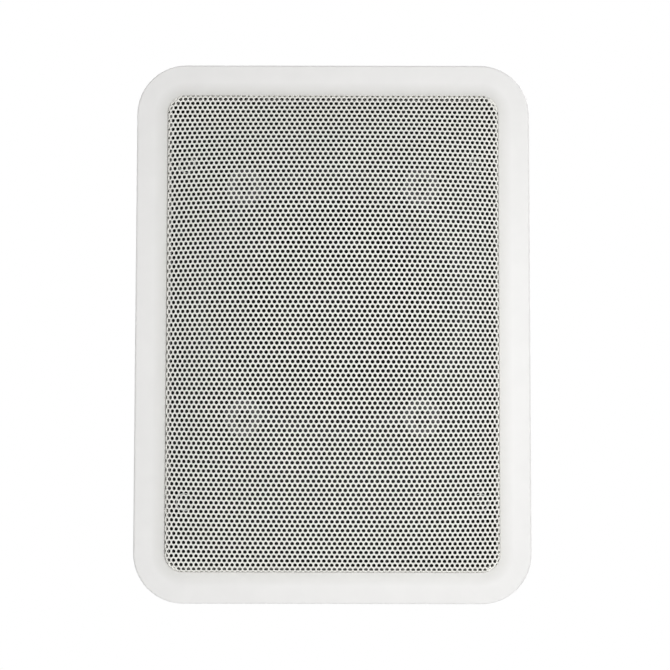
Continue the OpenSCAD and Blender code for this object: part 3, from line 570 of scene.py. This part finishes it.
class GrilleForm:
    """The sizes that the grille's surfaces share."""

    def __init__(self):
        s = sizes()
        low, high = plan_box("grille")
        self.sheet = s.grille_sheet
        self.fold = s.grille_fold
        self.rise = s.crown_rise
        self.power = s.crown_power
        self.half_x = (high[0] - low[0]) / 2 - self.fold
        self.half_y = (high[1] - low[1]) / 2 - self.fold
        self.corner = s.grille_corner - self.fold
        self.top = high[2] - self.rise
        self.foot = low[2]
        self.last_bend = math.radians(72)

    def sheet_point(self, x, y, depth):
        """Bends a flat place onto the sheet.

        Inside the folded edge it is raised by the crown. Past it the distance outwards is
        wound round the fold: sin(angle) outwards and 1 - cos(angle) down, times the radius.
        The second result marks the places past the last bend, where the plain edge goes on."""
        sx, sy = np.where(x < 0, -1.0, 1.0), np.where(y < 0, -1.0, 1.0)
        centre_x, centre_y = self.half_x - self.corner, self.half_y - self.corner
        ex, ey = np.abs(x) - centre_x, np.abs(y) - centre_y
        in_corner = (ex > 0) & (ey > 0)
        reach = np.hypot(np.maximum(ex, 0), np.maximum(ey, 0))
        reach = np.where(in_corner, reach, np.maximum(ex, ey))
        beyond = np.maximum(reach - self.corner, 0)
        safe = np.maximum(reach, 1e-9)
        nx = np.where(in_corner, ex / safe, np.where(ex >= ey, 1.0, 0.0))
        ny = np.where(in_corner, ey / safe, np.where(ex >= ey, 0.0, 1.0))
        base_x = np.abs(x) - nx * beyond
        base_y = np.abs(y) - ny * beyond
        ended = beyond >= self.fold * self.last_bend
        angle = np.minimum(beyond / self.fold, self.last_bend)
        radius = self.fold - depth
        px = sx * (base_x + nx * radius * np.sin(angle))
        py = sy * (base_y + ny * radius * np.sin(angle))
        level = self.top - self.fold + radius * np.cos(angle)
        pz = level + crown(base_x, base_y, self.half_x, self.half_y, self.rise, self.power)
        return np.stack([px, py, pz], axis=-1), ended


def perforated_sheet(form):
    """The sheet with all its holes, as arrays.

    Each hole of the staggered lattice has eight points in front and four behind. Numbers of
    the neighbouring holes to the right and in the row above give the faces between them."""
    s = sizes()
    pitch, row_pitch = s.hole_pitch, s.hole_pitch * math.sin(math.radians(60))
    _, reach_x = along_the_curve(np.zeros(1), form.half_x, form.rise, form.power)
    _, reach_y = along_the_curve(np.zeros(1), form.half_y, form.rise, form.power)
    rows = int(math.ceil((reach_y + 3 * form.fold) / row_pitch)) + 1
    columns = int(math.ceil((reach_x + 3 * form.fold) / pitch)) + 1
    j, i = np.meshgrid(np.arange(-rows, rows + 1), np.arange(-columns, columns + 1), indexing="ij")
    odd = np.abs(j) % 2
    across, up = (i + 0.5 * odd) * pitch, j * row_pitch
    turn = s.lattice_turn
    u = across * math.cos(turn) - up * math.sin(turn) + s.lattice_x
    v = across * math.sin(turn) + up * math.cos(turn) + s.lattice_y
    front = np.radians(22.5 + 45 * np.arange(FRONT_POINTS))
    back = np.radians(45 + 90 * np.arange(BACK_POINTS))
    radius = s.hole_diameter / 2 * FRONT_SPREAD
    back_radius = radius * BACK_SPREAD
    ring_u = np.concatenate([radius * np.cos(front), back_radius * np.cos(back)])
    ring_v = np.concatenate([radius * np.sin(front), back_radius * np.sin(back)])
    flat_x, _ = along_the_curve(u[..., None] + ring_u, form.half_x, form.rise, form.power)
    flat_y, _ = along_the_curve(v[..., None] + ring_v, form.half_y, form.rise, form.power)
    depth = np.concatenate([np.zeros(FRONT_POINTS), np.full(BACK_POINTS, form.sheet)])
    points, ended = form.sheet_point(flat_x, flat_y, np.broadcast_to(depth, flat_x.shape))

    wide = 2 * columns + 1
    own = ((j + rows) * wide + i + columns)[1:-1, 1:-1]
    shift = odd[1:-1, 1:-1]
    right = own + 1
    above_right = own + wide + shift
    above_left = above_right - 1

    def face(*corners):
        """Faces between numbered points of neighbouring holes, one face for each hole."""
        return np.stack([cell * HOLE_POINTS + k for cell, k in corners], axis=-1).reshape(-1, len(corners))

    quads = [
        face((own, 7), (right, 4), (right, 3), (own, 0)),
        face((own, 0), (above_right, 5), (above_right, 4), (own, 1)),
        face((own, 2), (above_left, 7), (above_left, 6), (own, 3)),
        face((own, 0), (right, 3), (above_right, 6), (above_right, 5)),
        face((own, 1), (above_right, 4), (above_left, 7), (own, 2)),
        face((own, 8), (right, 9), (right, 10), (own, 11)),
        face((above_right, 10), (above_right, 11), (right, 9), (own, 8)),
        face((own, 9), (above_left, 11), (above_right, 10), (own, 8)),
    ]
    walls = []
    for k in range(BACK_POINTS):
        behind = FRONT_POINTS + k
        next_behind = FRONT_POINTS + (k + 1) % BACK_POINTS
        next_front = (2 * k + 2) % FRONT_POINTS
        quads.append(face((own, 2 * k + 1), (own, next_front), (own, next_behind), (own, behind)))
        walls.append(face((own, 2 * k), (own, 2 * k + 1), (own, behind)))
    points, ended = points.reshape(-1, 3), ended.reshape(-1)
    return (points, without_slivers(points, ended, np.concatenate(quads)),
            without_slivers(points, ended, np.concatenate(walls)))


def without_slivers(points, ended, faces):
    """Leaves out the faces past the last bend, and those that the fold has pressed to nothing."""
    faces = faces[~ended[faces].all(axis=1)]
    a, b, c = points[faces[:, 0]], points[faces[:, 1]], points[faces[:, 2]]
    area = np.linalg.norm(np.cross(b - a, c - a), axis=1)
    if faces.shape[1] == 4:
        d = points[faces[:, 3]]
        area = area + np.linalg.norm(np.cross(c - a, d - a), axis=1)
    return faces[area > SMALLEST_FACE]


def rim_line(half_x, half_y, corner, steps=14):
    """Points and outward directions round a rounded rectangle, corner by corner."""
    turn = np.linspace(0, np.pi / 2, steps)
    angle = np.concatenate([turn + k * np.pi / 2 for k in range(4)])
    sx = np.repeat([1, -1, -1, 1], steps)
    sy = np.repeat([1, 1, -1, -1], steps)
    base = np.stack([sx * (half_x - corner), sy * (half_y - corner)], axis=-1)
    return base, np.stack([np.cos(angle), np.sin(angle)], axis=-1)


def swept_rim(half_x, half_y, corner, profile, steps=14):
    """Carries a profile of (reach, z) round a rounded rectangle: base plus reach times direction."""
    base, direction = rim_line(half_x, half_y, corner, steps)
    profile = np.asarray(profile, float)
    flat = base[:, None, :] + profile[None, :, 0, None] * direction[:, None, :]
    height = np.broadcast_to(profile[None, :, 1], flat.shape[:2])
    return np.concatenate([flat, height[..., None]], axis=-1)


def grille_edge_profile(form):
    """The rest of the fold and the turned-back edge, outside and in, as reach and height."""
    bend = np.linspace(form.last_bend, np.pi / 2, 4)
    axis_z = form.top - form.fold
    inner = form.fold - form.sheet
    outside = [(form.corner + form.fold * math.sin(a), axis_z + form.fold * math.cos(a)) for a in bend]
    inside = [(form.corner + inner * math.sin(a), axis_z + inner * math.cos(a)) for a in bend[::-1]]
    outer_reach = form.corner + form.fold
    inner_reach = outer_reach - form.sheet
    round_off = 0.25 * form.sheet
    foot = [(outer_reach, form.foot + round_off), (outer_reach - round_off, form.foot),
            (inner_reach + round_off, form.foot), (inner_reach, form.foot + round_off)]
    return outside + foot + inside


class SPEAKER_OT_grille(Operator):
    """Crowned perforated steel grille, with its folded edge in the frame's groove"""

    bl_idname = "speaker.grille"
    bl_label = "Grille"

    def execute(self, context):
        form = GrilleForm()
        points, quads, triangles = perforated_sheet(form)
        edge = swept_rim(form.half_x, form.half_y, form.corner, grille_edge_profile(form))
        edge_quads = grid_faces(edge.shape[0], edge.shape[1], wrap_rows=True) + len(points)
        points = np.concatenate([points, edge.reshape(-1, 3)])
        quads = np.concatenate([quads, edge_quads])
        used = np.unique(np.concatenate([quads.ravel(), triangles.ravel()]))
        renumber = np.zeros(len(points), np.int64)
        renumber[used] = np.arange(len(used))
        mesh = mesh_from_arrays("grille_sheet", placed(points[used]), renumber[quads], renumber[triangles])
        add_piece("grille_sheet", mesh, look("grille_paint"), "root", ("grille",))
        return {"FINISHED"}


# Frame and baffle


class SPEAKER_OT_frame(Operator):
    """White moulded frame, the foam seal behind its flange, and the black baffle with its screws"""

    bl_idname = "speaker.frame"
    bl_label = "Frame and baffle"

    def execute(self, context):
        dressed_copy("front_frame", look("white_plastic"), "root", sharp=32)
        dressed_copy("flange_seal", look("foam"), "root")
        dressed_copy("baffle", look("black_plastic"), "root", bevel=0.3 * MM)
        dressed_copy("baffle_screws", look("black_steel"), "root", bevel=0.1 * MM)
        return {"FINISHED"}


# Driver


class SPEAKER_OT_driver(Operator):
    """Round driver: basket, cone, whizzer cone, dust cap, surround, spider and motor"""

    bl_idname = "speaker.driver"
    bl_label = "Driver"

    def execute(self, context):
        # Each fixed piece, its finish and the rounding of its edges in millimetres
        root_pieces = (
            ("basket", "black_steel", 0.25), ("gasket_ring", "gasket_board", 0.2),
            ("surround", "surround_cloth", 0.0), ("spider", "spider_cloth", 0.0),
            ("top_plate", "plated_steel", 0.4), ("magnet", "ferrite", 0.8),
            ("back_plate", "plated_steel", 0.5), ("terminal_strip", "fibre_board", 0.15),
            ("solder_tags", "tag_brass", 0.05), ("driver_screws", "black_steel", 0.15),
            ("driver_washers", "dull_steel", 0.25),
        )
        for node, finish, bevel in root_pieces:
            dressed_copy(node, look(finish), "root", bevel=bevel * MM)
        moving = (("cone", "cone_paper"), ("whizzer_cone", "whizzer_paper"), ("dust_cap", "cap_cloth"),
                  ("voice_coil_former", "former_foil"), ("voice_coil", "coil_wire"))
        for node, finish in moving:
            dressed_copy(node, look(finish), "moving_cone")
        return {"FINISHED"}


# Terminals


class SPEAKER_OT_terminals(Operator):
    """Terminal cup with its sprung levers, pin, contacts and screws"""

    bl_idname = "speaker.terminals"
    bl_label = "Terminals"

    def execute(self, context):
        dressed_copy("terminal_cup", look("black_plastic"), "root", bevel=0.4 * MM)
        dressed_copy("terminal_screws", look("plated_steel"), "root", bevel=0.1 * MM)
        dressed_copy("terminal_contacts", look("tag_brass"), "root")
        dressed_copy("lever_pin", look("plated_steel"), "root")
        sides = (("red", "red_plastic"), ("black", "lever_black"))
        for side, finish in sides:
            dressed_copy("lead_" + side, look(finish), "root")
        for side, finish in sides:
            dressed_copy("lever_" + side, look(finish), "lever_" + side, bevel=0.3 * MM)
        return {"FINISHED"}


# Clamps


def thread_surface(centre, seat, length, major, depth, lead, turns=28, steps=10):
    """Points of a screw thread hanging from its seat, and the faces between them.

    At the angle a and the distance t below the seat the radius is the major one less the
    depth times |2 f - 1|, with f the fractional part of t / lead - a / 2 pi. Near the tip it
    is held under a cone, and at the end it closes."""
    rows = int(length / lead * steps) + 1
    below = np.linspace(0, length, rows)[:, None]
    angle = (np.arange(turns) * 2 * np.pi / turns)[None, :]
    share = np.mod(below / lead - angle / (2 * np.pi), 1)
    radius = major - depth * np.abs(2 * share - 1)
    tip_radius = major - 1.6 * depth
    radius = np.minimum(radius, tip_radius + (length - below))
    radius[-1] = 0
    points = np.stack([centre[0] + radius * np.cos(angle), centre[1] + radius * np.sin(angle),
                       np.broadcast_to(seat - below, radius.shape)], axis=-1)
    return placed(points.reshape(-1, 3)), grid_faces(rows, turns, wrap_columns=True)


def head_only(piece, seat):
    """Cuts the shank from a dressed screw, so that a threaded one can take its place."""
    margin = 0.05 * MM
    work = bmesh.new()
    work.from_mesh(piece.data)
    shank = [v for v in work.verts if -v.co.y < seat - margin]
    bmesh.ops.delete(work, geom=shank, context="VERTS")
    work.to_mesh(piece.data)
    work.free()


class SPEAKER_OT_clamps(Operator):
    """The four clamps: long screws, threaded nuts and swing-out dogs"""

    bl_idname = "speaker.clamps"
    bl_label = "Clamps"

    def execute(self, context):
        s = sizes()
        for corner in CORNERS:
            body = "clamp_screw_" + corner
            low, high = plan_box(body)
            seat = high[2] - s.clamp_head_height
            head_only(dressed_copy(body, look("dark_steel"), body, bevel=0.1 * MM), seat)
            points, quads = thread_surface((low + high) / 2, seat, seat - low[2], s.clamp_thread / 2,
                                           s.thread_depth, s.clamp_lead)
            mesh = mesh_from_arrays(body + "_thread", points, quads)
            outward(mesh)
            smooth_by_angle(mesh, 50)
            add_piece(body + "_thread", mesh, look("dark_steel"), body)
            dressed_copy("clamp_nut_" + corner, look("tag_brass"), "clamp_nut_" + corner,
                         bevel=0.1 * MM)
            dressed_copy("clamp_dog_" + corner, look("dog_plastic"), "clamp_dog_" + corner,
                         bevel=0.5 * MM)
        return {"FINISHED"}


# Stage

# Width of the camera's sensor, in millimetres
SENSOR_WIDTH = 36.0
# Name, place, power setting and width of each lamp: all point at the middle of the flange's back
LAMPS = (
    ("key", (0.24, -1.1, 0.02), "key_power", 0.35),
    ("side_lamp", (0.95, 0.6, 0.75), "side_power", 0.6),
    ("back_lamp", (-0.6, 0.9, 0.6), "back_power", 0.8),
)
# The surroundings dim between these two values of a direction's Y, where -1 is straight in front
FILL_TURN = (-0.95, -0.2)


def white_behind(tree, shade):
    """Mixes a shader with plain white for rays from the camera, from gloss and through glass."""
    path = tree.nodes.new("ShaderNodeLightPath")
    seen = path.outputs["Is Camera Ray"]
    for other in ("Is Glossy Ray", "Is Transmission Ray"):
        seen = calculated(tree, "MAXIMUM", seen, path.outputs[other])
    white = tree.nodes.new("ShaderNodeBackground" if shade.type == "BACKGROUND" else "ShaderNodeEmission")
    white.inputs["Color"].default_value = (1, 1, 1, 1)
    white.inputs["Strength"].default_value = 1
    mix = tree.nodes.new("ShaderNodeMixShader")
    tree.links.new(seen, mix.inputs["Fac"])
    tree.links.new(shade.outputs[0], mix.inputs[1])
    tree.links.new(white.outputs[0], mix.inputs[2])
    return mix, seen


def floor_material(view):
    """Pale floor that keeps a shadow near the speaker and fades to plain white away from it."""
    finish, tree, shader = new_material("pale_floor", colours().floor, 0.9, 0.0, 0.1)
    mix, seen = white_behind(tree, shader)
    distance = tree.nodes.new("ShaderNodeVectorMath")
    distance.operation = "LENGTH"
    tree.links.new(tree.nodes.new("ShaderNodeTexCoord").outputs["Object"], distance.inputs[0])
    away = ranged(tree, distance.outputs["Value"], view.floor_white, 1.0, view.fade_start, view.fade_end)
    tree.links.new(calculated(tree, "MULTIPLY", away, seen), mix.inputs["Fac"])
    tree.links.new(mix.outputs[0], tree.nodes["Material Output"].inputs["Surface"])
    return finish


def make_floor(view):
    """A flat square under the speaker."""
    half = view.floor_half
    corners = np.array([[-half, -half], [half, -half], [half, half], [-half, half]])
    points = np.concatenate([corners, np.full((4, 1), CAD_BOX[0].z - view.floor_gap)], axis=1)
    mesh = mesh_from_arrays("floor", points, [[0, 1, 2, 3]])
    mesh.materials.append(floor_material(view))
    floor = bpy.data.objects.new("floor", mesh)
    bpy.context.scene.collection.objects.link(floor)


def make_surroundings(view):
    """Light from all around, dimmer at the sides and behind, that the camera sees as plain white."""
    world = bpy.data.worlds.new("surroundings")
    world.use_nodes = True
    bpy.context.scene.world = world
    tree = world.node_tree
    fill = tree.nodes["Background"]
    fill.inputs["Color"].default_value = (1, 1, 1, 1)
    direction = tree.nodes.new("ShaderNodeSeparateXYZ")
    tree.links.new(tree.nodes.new("ShaderNodeTexCoord").outputs["Generated"], direction.inputs[0])
    behind = view.fill * view.back_share
    tree.links.new(ranged(tree, direction.outputs["Y"], view.fill, behind, *FILL_TURN),
                   fill.inputs["Strength"])
    mix, _ = white_behind(tree, fill)
    tree.links.new(mix.outputs[0], tree.nodes["World Output"].inputs["Surface"])


def make_lamp(name, place, power, width):
    """A square soft lamp that points at the origin."""
    data = bpy.data.lights.new(name, "AREA")
    data.energy = power
    data.size = width
    lamp = bpy.data.objects.new(name, data)
    lamp.location = place
    lamp.rotation_euler = (-Vector(place)).to_track_quat("-Z", "Y").to_euler()
    bpy.context.scene.collection.objects.link(lamp)


def make_camera(view):
    """The camera, in front of the place on the flange's face that it looks at."""
    camera = bpy.data.objects.new("camera", bpy.data.cameras.new("camera"))
    camera.data.sensor_width = SENSOR_WIDTH
    camera.data.lens = view.lens
    aim = Vector((view.aim_x, -float(plan_box("front_frame")[1][2]), view.aim_y))
    away = Vector((0, -math.cos(view.tilt), math.sin(view.tilt))) * view.distance
    camera.location = aim + away
    camera.rotation_euler = (-away).to_track_quat("-Z", "Y").to_euler()
    camera.rotation_euler.rotate_axis("Z", view.roll)
    bpy.context.scene.collection.objects.link(camera)
    bpy.context.scene.camera = camera


class SPEAKER_OT_stage(Operator):
    """Pale floor, white surroundings, soft lamps and the camera"""

    bl_idname = "speaker.stage"
    bl_label = "Stage"

    def execute(self, context):
        view = context.scene.speaker_view
        make_floor(view)
        make_surroundings(view)
        for name, place, setting, width in LAMPS:
            make_lamp(name, place, getattr(view, setting), width)
        make_camera(view)
        context.scene.view_settings.view_transform = "Standard"
        return {"FINISHED"}


# Panel and registration


OPERATORS = (SPEAKER_OT_stage, SPEAKER_OT_grille, SPEAKER_OT_frame, SPEAKER_OT_driver,
             SPEAKER_OT_terminals, SPEAKER_OT_clamps)


class SPEAKER_PT_panel(Panel):
    """Lists the speaker's pieces and settings"""

    bl_idname = "SPEAKER_PT_panel"
    bl_label = "Ceiling speaker"
    bl_space_type = "VIEW_3D"
    bl_region_type = "UI"
    bl_category = "Speaker"

    def draw(self, context):
        for settings, _ in SETTINGS:
            group = getattr(context.scene, settings)
            box = self.layout.box()
            for key in group.__annotations__:
                box.prop(group, key)
        for operator in OPERATORS:
            self.layout.operator(operator.bl_idname)


CLASSES = (SpeakerSizes, SpeakerColours, SpeakerView, *OPERATORS, SPEAKER_PT_panel)
SETTINGS = (
    ("speaker_sizes", SpeakerSizes),
    ("speaker_colours", SpeakerColours),
    ("speaker_view", SpeakerView),
)


def register():
    """Registers the classes and hangs the settings on the scene."""
    for cls in CLASSES:
        bpy.utils.register_class(cls)
    for name, group in SETTINGS:
        setattr(bpy.types.Scene, name, PointerProperty(type=group))


def unregister():
    """Takes the settings and the classes away again."""
    for name, _ in SETTINGS:
        delattr(bpy.types.Scene, name)
    for cls in reversed(CLASSES):
        bpy.utils.unregister_class(cls)


def main():
    """Registers the settings and builds everything in order."""
    register()
    bpy.ops.speaker.stage()
    bpy.ops.speaker.grille()
    bpy.ops.speaker.frame()
    bpy.ops.speaker.driver()
    bpy.ops.speaker.terminals()
    bpy.ops.speaker.clamps()


if __name__ == "__main__":
    main()
